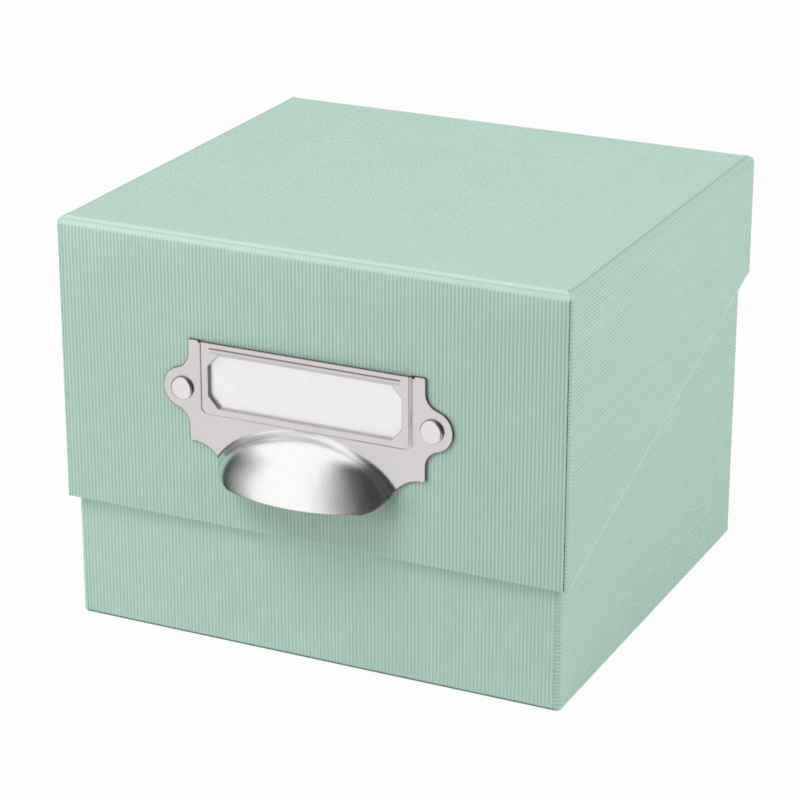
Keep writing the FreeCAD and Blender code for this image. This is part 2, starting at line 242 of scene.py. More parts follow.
class Shell(Sheet):
    """Cover paper round a board box, closed at one end and cut on a slant at the other.

    h runs from the closed end to the open one, and t from the longer end wall to the shorter one.
    """

    def __init__(self, closed_z, up, half_w, half_d, wall, long_h, short_h, to_back, edge, corner,
                 crease, seam_dark, scuff, end_tone):
        super().__init__()
        self.closed_z, self.up, self.to_back = closed_z, up, to_back
        self.half_w, self.half_d, self.wall = half_w, half_d, wall
        self.long_h, self.short_h = long_h, short_h
        self.edge, self.corner, self.crease = edge, corner, crease
        self.seam_dark, self.scuff, self.end_tone = seam_dark, scuff, end_tone
        self.wide = half_w - corner
        self.flat = half_w - edge
        self.arc = edge * math.pi / 2
        self.slant_t = half_d - wall
        self.slant = math.atan2(long_h - short_h, 2 * self.slant_t)
        self.fold_h = fold_radius * math.cos(self.slant)
        self.flip = to_back * up < 0

    def put(self, x, t, h, groove=0.0):
        """One more point, at x, t and h."""
        self.add((x, self.to_back * t, self.closed_z - self.up * h), groove)

    def rounding(self, turn, from_corner=0.0):
        """How far out, and how far down, the closed end's edge is at turn from its wall.

        Two flat facets with a crease between them, which grow rounder towards the corners.
        """
        crease = self.crease * clamp((from_corner - crease_start) / crease_grow)
        out = math.cos(turn)
        down = 1 - math.sin(turn)
        first = 0 if turn <= math.pi / 4 else math.pi / 4
        last = first + math.pi / 4
        share = (turn - first) / (last - first)
        flat_out = math.cos(first) + share * (math.cos(last) - math.cos(first))
        flat_down = 1 - math.sin(first) - share * (math.sin(last) - math.sin(first))
        out += crease * (flat_out - out)
        down += crease * (flat_down - down)
        return self.edge * out, self.edge * down

    def fold(self):
        """Paper round an open edge: distance in from the edge, inset, and normal along and out."""
        profile = []
        for turn in quarter(4):
            reach = fold_radius * (1 - math.sin(turn))
            inset = fold_radius * (1 - math.cos(turn))
            profile.append((reach, inset, math.sin(turn), math.cos(turn)))
        for turn in quarter(3):
            reach = fold_radius * (1 - math.cos(turn))
            inset = self.wall - fold_radius * (1 - math.sin(turn))
            profile.append((reach, inset, math.cos(turn), -math.sin(turn)))
        profile.append((turn_in, self.wall, 0, -1))
        return profile

    def rib_share(self, turn):
        """The share of the ribs' depth that is left where the paper goes over the rounding."""
        scuffed = min(1, self.scuff * turn / scuff_flat) if self.scuff else 0
        return (1 - stretched_flat * self.crease * min(1, 1.6 * math.sin(2 * turn))) * (1 - scuffed)

    def seam_shade_at(self, side):
        """How dark a corner's seam is painted: painted shade in its gap."""
        return self.seam_dark * (1 if side > 0 else closed_seam)

    def seam_open(self, side):
        """How wide a corner's seam gapes."""
        return seam_gap * min(1, 0.3 + 0.35 * self.seam_shade_at(side))

    def flap_rows(self, open_h, step):
        """An end wall's rows, from the turned-in band over the open edge to the closed end.

        Each is out, h, normal out and h, reach across, seam share, rib share, mark and turn.
        """
        rows = []
        # The fold's outward-facing rows get a painted highlight along the open edge
        for reach, inset, along, out in reversed(self.fold()):
            share = min(1, inset / self.wall)
            limit = self.wide + share * (self.half_w - self.wall - self.wide)
            rows.append((self.half_d - inset, open_h - reach, out, along, limit, 1 - share, 1,
                         -fold_highlight * (out > 0.3), None))
        for h in spaced(open_h - fold_radius - highlight_width, self.edge, step):
            rows.append((self.half_d, h, 1, 0, self.wide, 1, 1, 0, None))
        for turn in quarter(12)[1:]:
            out, down = self.rounding(turn)
            limit = self.flat + out - self.corner * math.cos(turn)
            rows.append((self.half_d - self.edge + out, down, math.cos(turn), -math.sin(turn),
                         limit, max(0, 1 - turn / seam_end), self.rib_share(turn), 0, turn))
        return rows

    def flap_point(self, end, x, row, seam=0.0):
        """Adds a point of an end wall; seam is how far it is sunk into a corner's seam."""
        out, h, normal_out, normal_h = row[:4]
        ribs, mark, turn = row[6:]
        if turn is not None:
            reach, h = self.rounding(turn, self.half_w - abs(x))
            out = self.half_d - self.edge + reach
            # On an end wall's rounding: a painted highlight on its two facets and painted shade
            # along the crease between them
            mark = self.crease * rounding_mark(math.cos(turn), end_facet_highlight, end_crease_shade)
            # and painted shade towards the underside of the closed end's edge, the body's bottom
            # edge by the floor
            mark += self.scuff * clamp((turn - scuff_start) / scuff_fade)
        height = -seam if seam else rib(x) * ribs
        # Painted shade in the ribs' grooves, scaled by the end wall's tone, and kept in part where
        # the ribs are stretched flat
        painted = max(ribs, stretched_paint * self.crease)
        groove = mark - self.end_tone * rib(x) * painted / rib_depth
        # A point sunk into a seam gets the seam's painted shade
        if seam:
            groove = self.seam_shade_at(x) * seam / seam_step
        self.put(x, end * (out + height * normal_out), h + height * normal_h, groove)

    def flap(self, end, open_h):
        """An end wall: columns across the ribs, from the turned-in band round to the closed end."""
        inner = self.wide - seam_strip
        count = math.floor(inner / rib_step)
        columns = [-inner] + [i * rib_step for i in range(-count, count + 1)] + [inner]
        rows = self.flap_rows(open_h, wall_step)
        start = len(self.points)
        for row in rows:
            edge = max(row[4] - seam_gap * row[5], 0)
            for x in columns:
                self.flap_point(end, max(-edge, min(edge, x)), row)
        self.grid(start, len(rows), len(columns), (end < 0) == self.flip)
        for side in (-1, 1):
            self.seam(end, open_h, side, inner)

    def seam(self, end, open_h, side, inner):
        """The end wall's last strip beside a corner, with its roughly cut edge."""
        rough = random.Random(seam_seed + 2 * end + side)
        drift = 0.5
        rows = self.flap_rows(open_h, seam_row_step)
        columns = spaced(inner, self.wide, rib_step)
        start = len(self.points)
        for row in rows:
            drift = drift_kept * drift + (1 - drift_kept) * rough.random()
            ragged = cut_least + cut_drift * drift + cut_nicks * rough.random() ** 3
            edge = row[4] - self.seam_open(side) * ragged * row[5]
            for x in columns:
                self.flap_point(end, side * min(edge, x), row)
            # The cut edge's last point sinks into the gap and gets the seam's painted shade
            self.flap_point(end, side * edge, row, seam_step * row[5])
        self.grid(start, len(rows), len(columns) + 1, ((end < 0) == self.flip) == (side > 0))

    def corner_columns(self, x, t, turned, inset=0.0):
        """Plan points round a vertical corner: x, t, normal x, normal t, drop below the paper."""
        radius = max(self.corner * turned - inset, 0)
        centre_x = x - self.corner * turned
        places = []
        for turn in quarter(5):
            places.append((centre_x + radius * math.cos(turn), t + radius * math.sin(turn),
                           math.cos(turn), math.sin(turn), 0))
        last_x, last_t = places[-1][:2]
        for reach in (seam_gap * 0.3, seam_tuck):
            places.append((last_x - reach * turned, last_t, 0, 1, seam_step * turned))
        return places

    def belt_row(self, u, from_corner=0.0):
        """Where a belt row at u from the middle lies.

        It gives x, h, normal x, normal h, reach, how far it has turned to the side, and lift.
        """
        if u <= self.flat:
            return u, 0, 0, -1, self.half_d - self.edge, 0, rib(u)
        if u < self.flat + self.arc:
            turn = math.pi / 2 - (u - self.flat) / self.edge
            out, down = self.rounding(turn, from_corner)
            turned = math.cos(turn)
            reach = self.half_d - self.edge + self.edge * turned - self.corner * turned
            lift = rib(u) * self.rib_share(turn)
            return self.flat + out, down, turned, -math.sin(turn), reach, turned, lift
        h = self.edge + u - self.flat - self.arc
        return self.half_w, h, 1, 0, self.half_d - self.corner, 1, rib(u)

    def belt_line(self, side, u, short_end=None):
        """One row of the belt as (x, t, h, groove) places, from the long end to the short one.

        With short_end it stops there, where the slanted edge cuts it.
        """
        x, h, normal_x, normal_h, reach, turned, lift = self.belt_row(u)
        # Painted shade in the ribs' grooves, stronger on the sides than on the top; the rounding is
        # painted darker on its two facets and less dark along the crease between them, and the
        # painted shade eases round the vertical corners
        tone = top_tone + turned * (side_tone - top_tone)
        facet = side_facet - side_facet_fall * turned ** 2
        groove = -tone * lift / rib_depth
        groove += self.crease * rounding_mark(turned, facet, side_crease)
        corner = []
        for px, pt, nx, nt, drop in self.corner_columns(x, reach, turned):
            height = -drop if drop else lift
            dark = groove * (1 - 0.5 * nt * turned)
            corner.append((side * (px + height * nx * normal_x), pt + height * nt * normal_x,
                           h + height * normal_h, self.seam_shade_at(side) if drop else dark))
        line = [(px, -pt, ph, dark) for px, pt, ph, dark in reversed(corner)]
        x, h = self.belt_row(u, self.half_d)[:2]
        if short_end is None:
            flat = (crease_fade - reach, 0, reach - crease_fade)
        else:
            flat = (0.8 * short_end - 0.2 * reach, short_end)
        for t in flat:
            line.append((side * (x + lift * normal_x), t, h + lift * normal_h, groove))
        return line + corner if short_end is None else line

    def u_at(self, h):
        """Where h on a side wall lies across the ribs."""
        return self.flat + self.arc + h - self.edge

    def belt(self):
        """The side walls and the closed end: one sheet whose ribs run from end wall to end wall."""
        start_h = self.short_h - self.fold_h
        reach_u = self.u_at(start_h)
        rows = rib_places(-reach_u, reach_u)
        lines = [self.belt_line(1 if u >= 0 else -1, abs(u)) for u in rows]
        start = len(self.points)
        for line in lines:
            for place in line:
                self.put(*place)
        self.grid(start, len(lines), len(lines[0]), self.flip)
        for side in (-1, 1):
            self.skirt(side, start_h)
            self.open_corner(side, 1, self.short_h)
            self.open_corner(side, -1, self.long_h)

    def skirt(self, side, start_h):
        """A side wall below the short end's height, its paper folded round the slanted edge."""
        inward = (-math.sin(self.slant), -math.cos(self.slant))
        rows = rib_places(self.u_at(start_h), self.u_at(self.long_h - self.fold_h))
        start = len(self.points)
        width = 0
        patchy = random.Random(highlight_seed + side)
        for u in rows:
            h = u - self.u_at(0)
            below = h + self.fold_h - self.short_h
            edge_t = self.slant_t - below / math.tan(self.slant)
            foot = (edge_t, h + self.fold_h)
            plain_t = edge_t + fold_radius * inward[0] - highlight_width / math.sin(self.slant)
            line = self.belt_line(side, u, max(plain_t, 0.9 * plain_t - 0.1 * self.slant_t))
            # A painted highlight along the fold of the slanted edge, patchy at random
            highlight = least_highlight + (1 - least_highlight) * patchy.random()
            for reach, inset, along, out in self.fold():
                lift = rib(u) if reach > fold_radius else folded_ribs * rib(u)
                x = side * (self.half_w - inset + lift * out)
                away = reach - lift * along
                t = max(foot[0] + inward[0] * away, -self.slant_t)
                groove = -side_tone * lift / rib_depth if reach > fold_radius else -highlight
                line.append((x, t, foot[1] + inward[1] * away, groove))
            for place in line:
                self.put(*place)
            width = len(line)
        self.grid(start, len(rows), width, (side < 0) != self.flip)

    def open_corner(self, side, end, open_h):
        """A vertical corner's last stretch, where the slanted edge meets an end wall.

        It is rolled in, with its underside; end is 1 at the short end wall and -1 at the long one.
        """
        first_h = open_h - self.fold_h
        first_t = self.slant_t - end * fold_radius * math.sin(self.slant)
        start = len(self.points)
        rows = quarter(4)
        for turn in rows:
            inset = fold_radius * (1 - math.cos(turn))
            share = math.sin(turn)
            t = first_t + (self.slant_t - first_t) * share
            h = first_h + self.fold_h * share
            self.put(side * (self.half_w - inset), end * t, h)
            places = self.corner_columns(self.half_w, self.half_d - self.corner, 1, inset)[:-2]
            width = 1 + len(places)
            for px, pt, *_ in places:
                self.put(side * px, end * pt, h)
        for _ in range(width):
            self.put(side * (self.half_w - self.wall), end * self.slant_t, open_h)
        self.grid(start, len(rows) + 1, width, ((side < 0) != self.flip) == (end > 0))

    def make(self, name, material):
        """The whole cover as one object."""
        self.flap(-1, self.long_h)
        self.flap(1, self.short_h)
        self.belt()
        return self.build(name, material, 50)


# Materials

def fill(node, inputs):
    """Sets a node's inputs by their names."""
    for key, value in inputs.items():
        node.inputs[key].default_value = value


class Paint:
    """A node material with a few helpers, so that each finish reads as one short recipe."""

    def __init__(self, name, inputs=None):
        self.material = bpy.data.materials.new(name)
        self.material.use_nodes = True
        self.tree = self.material.node_tree
        self.shader = self.tree.nodes["Principled BSDF"]
        self.place = self.node("ShaderNodeTexCoord").outputs["Object"]
        fill(self.shader, inputs or {})

    def node(self, kind, **settings):
        """A new node of the material with some of its properties set."""
        made = self.tree.nodes.new(kind)
        for key, value in settings.items():
            setattr(made, key, value)
        return made

    def link(self, source, target):
        self.tree.links.new(source, target)

    def noise(self, scale, detail=4, rough=0.6, stretch=(1, 1, 1)):
        """Noise in object space; scale is in features per metre, stretched along the axes."""
        mapping = self.node("ShaderNodeMapping")
        fill(mapping, {"Scale": stretch})
        self.link(self.place, mapping.inputs["Vector"])
        made = self.node("ShaderNodeTexNoise")
        fill(made, {"Scale": scale, "Detail": detail, "Roughness": rough})
        self.link(mapping.outputs["Vector"], made.inputs["Vector"])
        return made.outputs["Fac"]

    def span(self, value, low, high, from_low=0.0, from_high=1.0):
        """value, from its own span to another one, clamped."""
        made = self.node("ShaderNodeMapRange")
        self.link(value, made.inputs["Value"])
        fill(made, {"From Min": from_low, "From Max": from_high, "To Min": low, "To Max": high})
        return made.outputs["Result"]

    def patches(self, scale, detail, rough, low, high):
        """Noise with more contrast: 0 up to low, and 1 from high on."""
        return self.span(self.noise(scale, detail, rough), 0.0, 1.0, low, high)

    def math(self, kind, a, b):
        """A sum, product or the like of two values, each a number or a socket."""
        made = self.node("ShaderNodeMath", operation=kind)
        for socket, value in zip(made.inputs, (a, b)):
            if isinstance(value, (int, float)):
                socket.default_value = value
            else:
                self.link(value, socket)
        return made.outputs["Value"]

    def mix(self, share, a, b):
        """A colour between two others, each a tuple or a socket."""
        made = self.node("ShaderNodeMix", data_type="RGBA")
        self.link(share, made.inputs["Factor"])
        for socket, value in ((made.inputs[6], a), (made.inputs[7], b)):
            if isinstance(value, tuple):
                socket.default_value = (*value, 1)
            else:
                self.link(value, socket)
        return made.outputs[2]

    def attribute(self, name):
        """A value stored on the mesh's points."""
        return self.node("ShaderNodeAttribute", attribute_name=name).outputs["Fac"]

    def bump(self, height, distance, strength=1.0):
        """Fine relief; distance is in millimetres."""
        made = self.node("ShaderNodeBump")
        fill(made, {"Distance": distance * mm, "Strength": strength})
        self.link(height, made.inputs["Height"])
        self.link(made.outputs["Normal"], self.shader.inputs["Normal"])

    def colour(self, value):
        self.link(value, self.shader.inputs["Base Color"])

    def roughness(self, value):
        self.link(value, self.shader.inputs["Roughness"])


def ribbed_paper():
    """Mint cover paper: pale crests, painted shade in the grooves and seams, painted highlights on
    folded edges and facets, mottling and fibres.
    """
    paint = Paint("ribbed_paper", {"Specular IOR Level": 0.4})
    groove = paint.attribute("groove")
    mottle = paint.patches(45, 5, 0.65, 0.35, 0.65)
    speck = paint.patches(2600, 2, 0.7, 0.3, 0.72)
    # in_groove and in_seam are painted shade, in the grooves and in a seam's gap; highlight is a
    # painted highlight
    in_groove = (0.405, 0.610, 0.490)
    in_seam = (0.10, 0.17, 0.13)
    highlight = (0.76, 0.94, 0.85)
    specks = (0.66, 0.80, 0.72)
    field = paint.mix(mottle, (0.545, 0.775, 0.655), (0.580, 0.805, 0.685))
    # groove values from 0 to 1 paint shade towards in_groove, from 1 to 2 towards in_seam, and
    # below 0 paint the highlight
    field = paint.mix(paint.span(groove, 0.0, 0.8), field, in_groove)
    field = paint.mix(paint.span(groove, 0.0, 0.9, 1.0, 2.0), field, in_seam)
    field = paint.mix(paint.span(groove, 0.0, 0.6, 0.0, -1.0), field, highlight)
    field = paint.mix(paint.math("MULTIPLY", speck, 0.12), field, specks)
    paint.colour(field)
    paint.roughness(paint.span(speck, 0.66, 0.78))
    fibre = paint.math("ADD", paint.noise(1500, 4, 0.7), paint.noise(5200, 2, 0.6))
    paint.bump(fibre, 0.02, 0.3)
    return paint.material


def plain_paper(name, colour, shade, pearl=0.0):
    """Smooth lining or card stock with soft fibre clouds; pearl is its share of mica shine."""
    paint = Paint(name, {"Metallic": pearl, "Specular IOR Level": 0.3})
    cloud = paint.patches(120, 6, 0.7, 0.3, 0.7)
    fleck = paint.patches(1700, 3, 0.7, 0.55, 0.8)
    clouded = paint.mix(cloud, colour, shade)
    paint.colour(paint.mix(paint.math("MULTIPLY", fleck, 0.35), clouded, shade))
    smooth = 0.3 * pearl
    paint.roughness(paint.span(cloud, 0.57 - smooth, 0.67 - smooth))
    paint.bump(paint.noise(2300, 5, 0.65), 0.02, 0.6)
    return paint.material


def grey_board():
    """Raw board of pressed paper chips."""
    paint = Paint("grey_board")
    chips = paint.patches(900, 4, 0.75, 0.35, 0.65)
    paint.colour(paint.mix(chips, (0.34, 0.31, 0.27), (0.47, 0.44, 0.39)))
    paint.roughness(paint.span(chips, 0.84, 0.95))
    paint.bump(paint.noise(1300, 4, 0.7), 0.05, 0.7)
    return paint.material


def hinge_cloth():
    """Bookbinder's cloth: two crossed sets of threads."""
    paint = Paint("hinge_cloth")
    threads = []
    for axis in ("X", "Z"):
        wave = paint.node("ShaderNodeTexWave", bands_direction=axis)
        fill(wave, {"Scale": 420, "Distortion": 0.6, "Detail": 1})
        paint.link(paint.place, wave.inputs["Vector"])
        threads.append(wave.outputs["Fac"])
    weave = paint.math("MAXIMUM", *threads)
    paint.colour(paint.mix(weave, (0.30, 0.43, 0.36), (0.46, 0.62, 0.53)))
    paint.roughness(paint.span(weave, 0.9, 0.78))
    paint.bump(weave, 0.06, 0.8)
    return paint.material


def nickel(name, roughness_low, roughness_high, tone=1.0):
    """Satin nickel: drawn grain, cloudy roughness, pits, painted shade on edges and in pressed
    lines, and a polished cup.
    """
    paint = Paint(name, {"Metallic": 1.0})
    cloud = paint.noise(90, 5, 0.6)
    painted_shade = paint.attribute("groove")
    polish = paint.attribute("polish")
    shades = ((0.665, 0.635, 0.645), (0.715, 0.69, 0.695))
    metal = paint.mix(cloud, *[tuple(tone * value for value in shade) for shade in shades])
    grains = paint.patches(2100, 2, 0.6, 0.35, 0.65)
    buffed = paint.mix(grains, (0.93, 0.925, 0.925), (0.995, 0.99, 0.99))
    metal = paint.mix(polish, metal, buffed)
    # The groove value paints shade towards near-black: on edges, in pressed lines, the slit and the
    # frame's foot, on the rivets' sides, and a dark reflection line round the cup's rim
    paint.colour(paint.mix(painted_shade, metal, (0.13, 0.10, 0.095)))
    grain = paint.noise(1400, 3, 0.65, (0.12, 1, 1))
    pits = paint.noise(6500, 2, 0.7)
    blend = paint.math("ADD", paint.math("MULTIPLY", cloud, 0.5), paint.math("MULTIPLY", pits, 0.5))
    rough = paint.span(blend, roughness_low, roughness_high, 0.3, 0.7)
    paint.roughness(paint.math("SUBTRACT", rough, paint.math("MULTIPLY", polish, 0.1)))
    speckle = paint.math("MULTIPLY", polish, paint.math("MULTIPLY", paint.noise(2600, 1, 0.5), 1.6))
    paint.bump(paint.math("ADD", paint.math("ADD", grain, pits), speckle), 0.006, 0.5)
    return paint.material


# Label pull, in millimetres, with the same sizes as the solid

pull_low, pull_high = read_box("label_pull")
lip_z = pull_low.z
pull_top = pull_high.z
ear_reach = pull_high.x
rivet_low, rivet_high = read_box("rivets")
rivet_z = (rivet_low.z + rivet_high.z) / 2
head_radius = (rivet_high.z - rivet_low.z) / 2
pull_front = front_y - pull_low.y - 0.002  # just short of the solid's
rivet_x = rivet_high.x - head_radius

sheet_metal = 0.8
plate_half = 42.0
plate_low = lip_z + 11.3
plate_round = 0.8
ear_radius = ear_reach - rivet_x
ear_blend = 5.6
scallop_radius = 12.2
scallop_end = lip_z + 6.8
lip_flat = 22.6
lip_round = 8.8
lip_cut = lip_z + 6.3
cup_half = 34.0
cup_depth = 15.0
cup_crown = 52.0
cup_end = 30.0
cup_back = 7.0
cup_blend = 2.4
frame_half = 36.5
frame_low = lip_z + 22.0
frame_rise = 1.0
frame_slope = 0.9
frame_round = 1.6
window_half = 34.2
window_low = frame_low + 2.0
window_high = window_low + 18.2
window_cut_x = 3.6
window_cut_z = 4.0
window_lip = 0.5
edge_round = 0.22
edge_steps = (0.05, 0.12, edge_round)
crease_z = pull_top - 1.9
crease_half = 33.4
crease_end = 0.6
slit_x = frame_half + frame_slope + 0.3
slit_half = 0.3
slit_low = pull_top - 0.9
slit_floor = 0.15
slit_side = 0.02
grid_step = 0.3
outline_step = 0.05

# Label pull, its pressed lines: height, depth, width, and how dark and how wide the painted dark
# line in the groove is (painted shade)
pressed_lines = ((crease_z, 0.12, 0.2, 1.8, 0.22), (crease_z - 1.3, 0.04, 0.3, 0.3, 0.25))

# Label pull, its painted dark lines: painted shade at the frame's foot (stronger on the left), at
# the edges and on the back, and a painted reflection line round the cup's rim
foot_line = frame_half + frame_slope + 0.1
foot_width = 0.18
foot_dark_left = 0.55
foot_dark_right = 0.2
edge_shade = 1.1
edge_fade = 0.3
window_dark = 0.25
behind_dark = 0.8
lip_width = 0.4
rim_line = 3.2
rim_width = 0.4
rim_dark = 0.3
polish_start = 1.0
polish_fade = 1.2


def end_arc_centre():
    """Centre of the end arc in the cup's profile: across, and out from the lid's front."""
    crown = cup_depth - cup_crown
    reach = math.hypot(cup_half, crown)
    apart = cup_crown - cup_end
    along = (apart ** 2 - cup_end ** 2 + reach ** 2) / (2 * reach)
    aside = math.sqrt(apart ** 2 - along ** 2)
    across = (along * cup_half + aside * crown) / reach
    return across, crown + (aside * cup_half - along * crown) / reach


arc_x, arc_out = end_arc_centre()
arc_join = math.atan2(arc_x, arc_out - cup_depth + cup_crown)


def cup_out(x, z, shrink):
    """How far the cup's form stands out from the lid's front, or a value below 0 beside it."""
    x = abs(x)
    if x <= (cup_crown - shrink) * math.sin(arc_join):
        profile = cup_depth - cup_crown + math.sqrt((cup_crown - shrink) ** 2 - x * x)
    else:
        across = min(abs(x - arc_x), cup_end - shrink)
        profile = arc_out + math.sqrt((cup_end - shrink) ** 2 - across ** 2)
    square = (profile + cup_back) ** 2 - (z - lip_z) ** 2
    return (math.sqrt(square) if square > 0 else -math.sqrt(-square)) - cup_back


def smooth_max(a, b, width):
    """The larger of a and b, rounded where they are closer than width."""
    overlap = max(width - abs(a - b), 0) / width
    return max(a, b) + overlap ** 2 * width / 4


def pull_reach(z):
    """Half the pull's width at a height."""
    blend_x = plate_half + ear_blend
    rise = math.sqrt((ear_radius + ear_blend) ** 2 - (blend_x - rivet_x) ** 2)
    above = abs(z - rivet_z)
    share = ear_radius / (ear_radius + ear_blend)
    if above <= rise * share:
        return rivet_x + math.sqrt(ear_radius ** 2 - above ** 2)
    if above < rise:
        return blend_x - math.sqrt(ear_blend ** 2 - (rise - above) ** 2)
    for corner in (pull_top - plate_round, plate_low + plate_round):
        over = z - corner if corner > rivet_z else corner - z
        if 0 < over <= plate_round:
            return plate_half - plate_round + math.sqrt(plate_round ** 2 - over ** 2)
    if z >= plate_low:
        return plate_half
    scallop_x = plate_half - plate_round
    scallop_z = plate_low - scallop_radius
    if z >= scallop_end:
        return scallop_x - math.sqrt(scallop_radius ** 2 - (z - scallop_z) ** 2)
    end_x = scallop_x - math.sqrt(scallop_radius ** 2 - (scallop_end - scallop_z) ** 2)
    rise = min(z - lip_z, lip_round)
    lip_x = lip_flat + math.sqrt(lip_round ** 2 - (lip_round - rise) ** 2)
    if z <= lip_cut:
        return lip_x
    share = (z - lip_cut) / (scallop_end - lip_cut)
    return lip_x + share * (end_x - lip_x)


def window_reach(z):
    """Half the window's width at a height, 0 above and below it."""
    if z < window_low or z > window_high:
        return 0
    from_end = min(z - window_low, window_high - z)
    return window_half - window_cut_x * max(0, 1 - from_end / window_cut_z)


def frame_share(x, z):
    """How far the label frame has risen at a place: 0 on the plate, 1 on the frame."""
    px = abs(x) - frame_half + frame_round
    pz = frame_low + frame_round - z
    outside = math.hypot(max(px, 0), max(pz, 0)) + min(max(px, pz), 0) - frame_round
    share = clamp(1 - outside / frame_slope)
    return share * share * (3 - 2 * share)


def front_place(x, z, from_edge):
    """The pull's front surface: distance out from the lid's front, and how dark it is painted
    (painted shade).
    """
    # Painted shade at the frame's foot, stronger on the left
    dark = foot_dark_left if x < 0 else foot_dark_right
    dark *= bell(abs(x) - foot_line, foot_width) * (z > frame_low)
    flat = sheet_metal + frame_rise * frame_share(x, z)
    fade = clamp((crease_half + crease_end - abs(x)) / crease_end)
    if fade:
        for height, depth, width, tint, spread in pressed_lines:
            flat -= depth * fade * bell(z - height, width)
            dark += fade * tint * bell(z - height, spread)
    # The slit is painted fully dark: painted shade in it
    if z > slit_low and abs(abs(x) - slit_x) < slit_half:
        flat = slit_floor
        dark = 1
    cup = cup_out(x, z, 0)
    out = min(smooth_max(flat, cup, cup_blend), pull_front)
    if from_edge < edge_round:
        out -= edge_round - math.sqrt(edge_round ** 2 - (edge_round - from_edge) ** 2)
    # Painted shade along the edges, less round the window
    dark += max(0, edge_shade - from_edge / edge_fade) * edge_dark(x, z)
    # A painted reflection line, dark, inside the cup's rim
    if cup > sheet_metal:
        dark += rim_dark * bell(cup - rim_line, rim_width)
    return out, min(1, dark)


def edge_dark(x, z):
    """Share of the painted edge shade on an edge: little round the window, all of it on the
    outline.
    """
    beside_window = window_low - 1 < z < window_high + 1 and abs(x) < window_half + 1
    return window_dark if beside_window else 1


def back_out(x, z):
    """The pull's back surface."""
    flat = frame_rise * frame_share(x, z)
    return smooth_max(flat, cup_out(x, z, sheet_metal), cup_blend / 2)


def stops(values, start, end, step):
    """Sorted places from start to end at most step apart that include the values."""
    fixed = sorted({start, end, *[v for v in values if start < v < end]})
    places = []
    for low, high in zip(fixed, fixed[1:]):
        places += spaced(low, high, step)[:-1]
    return places + [end]


def near(value, sides=(-1, 1)):
    """Places beside an edge that resolve its rounding."""
    return [value + side * off for off in (0, *edge_steps) for side in sides]


def pull_outline():
    """Points along the pull's outline and its window, close together."""
    points = [(pull_reach(z), z) for z in spaced(lip_z, pull_top, outline_step)]
    points += [(x, pull_top) for x in spaced(0, plate_half - plate_round, outline_step)]
    points += [(x, lip_z) for x in spaced(0, lip_flat, outline_step)]
    points += [(window_reach(z), z) for z in spaced(window_low, window_high, outline_step)]
    for z in (window_low, window_high):
        points += [(x, z) for x in spaced(0, window_half - window_cut_x, outline_step)]
    return points


def pull_point(x, z, from_edge, behind):
    """A point's distance out, and how dark it is painted (painted shade), on the pull's front or
    behind it.
    """
    if not behind:
        return front_place(x, z, from_edge)
    out = back_out(x, z)
    shown = edge_dark(x, z)
    if shown < 1:
        out += max(0, 1 - from_edge / lip_width) * (window_lip - out)
    # The back surface is painted dark: painted shade behind the sheet
    return out, behind_dark * shown


def outline_tree():
    """The pull's outline, to look up how far a place is from the nearest edge."""
    outline = pull_outline()
    tree = KDTree(len(outline))
    for i, (x, z) in enumerate(outline):
        tree.insert((x, z, 0), i)
    tree.balance()
    return tree


def row_places(z, windowed, columns):
    """Where one half of a row has its points: the columns, clamped, and those beside its edges."""
    outer = pull_reach(z)
    offsets = (0, *edge_steps)
    line = []
    least = 0
    if windowed:
        inner = window_reach(z)
        line = [inner + off for off in offsets]
        least = inner + edge_round
    line += [min(max(x, least), outer - edge_round) for x in columns]
    return line + [outer - off for off in reversed(offsets)]


def make_pull(material):
    """One pressed sheet: a fine grid whose rows are clamped to the outline and to the window."""
    edges = outline_tree()
    heights = near(window_low) + near(window_high) + near(lip_z, (1,)) + near(pull_top, (-1,))
    heights += [scallop_end, lip_cut, plate_low, plate_low - 0.03, plate_low - 0.1, frame_low,
                frame_low - frame_slope, crease_z, slit_low, slit_low - slit_side]
    rows = stops(heights, lip_z, pull_top, grid_step)
    widths = [frame_half, frame_half + frame_slope, window_half - window_cut_x]
    for off in (slit_half, slit_half - slit_side):
        widths += [slit_x - off, slit_x + off]
    columns = stops(widths, 0, ear_reach, grid_step)
    bands = [(lip_z, window_low, 0), (window_low, window_high, 1), (window_high, pull_top, 0)]
    sheet = Sheet()
    for side in (-1, 1):
        for low, high, windowed in bands:
            band_rows = [z for z in rows if low <= z <= high]
            for behind in (False, True):
                start = len(sheet.points)
                for z in band_rows:
                    line = row_places(z, windowed, columns)
                    for x in line:
                        out, dark = pull_point(side * x, z, edges.find((x, z, 0))[2], behind)
                        polish = clamp((cup_out(x, z, 0) + polish_start) / polish_fade)
                        sheet.add((side * x, front_y - out, z), dark, polish)
                sheet.grid(start, len(band_rows), len(line), (side > 0) == behind)
    pull = sheet.build("label_pull_sheet", material, weld=0.004)
    close_edges(pull)
    return pull


def close_edges(piece):
    """Joins the front and back surfaces along every open edge by a straight wall."""
    work = bmesh.new()
    work.from_mesh(piece.data)
    ends = {}
    for vertex in work.verts:
        if any(edge.is_boundary for edge in vertex.link_edges):
            key = (round(vertex.co.x / mm, 2), round(vertex.co.z / mm, 2))
            ends.setdefault(key, []).append(vertex)
    partner = {}
    for pair in ends.values():
        if len(pair) == 2:
            partner[pair[0]] = pair[1]
            partner[pair[1]] = pair[0]
    for edge in [edge for edge in work.edges if edge.is_boundary]:
        a, b = edge.verts
        c, d = partner.get(a), partner.get(b)
        if c is None or d is None or a.co.y > c.co.y or not work.edges.get((c, d)):
            continue
        work.faces.new((a, b, d, c))
    bmesh.ops.recalc_face_normals(work, faces=work.faces)
    work.to_mesh(piece.data)
    work.free()
    piece.data.shade_smooth()
    piece.data.set_sharp_from_angle(angle=math.radians(sharp_angle))


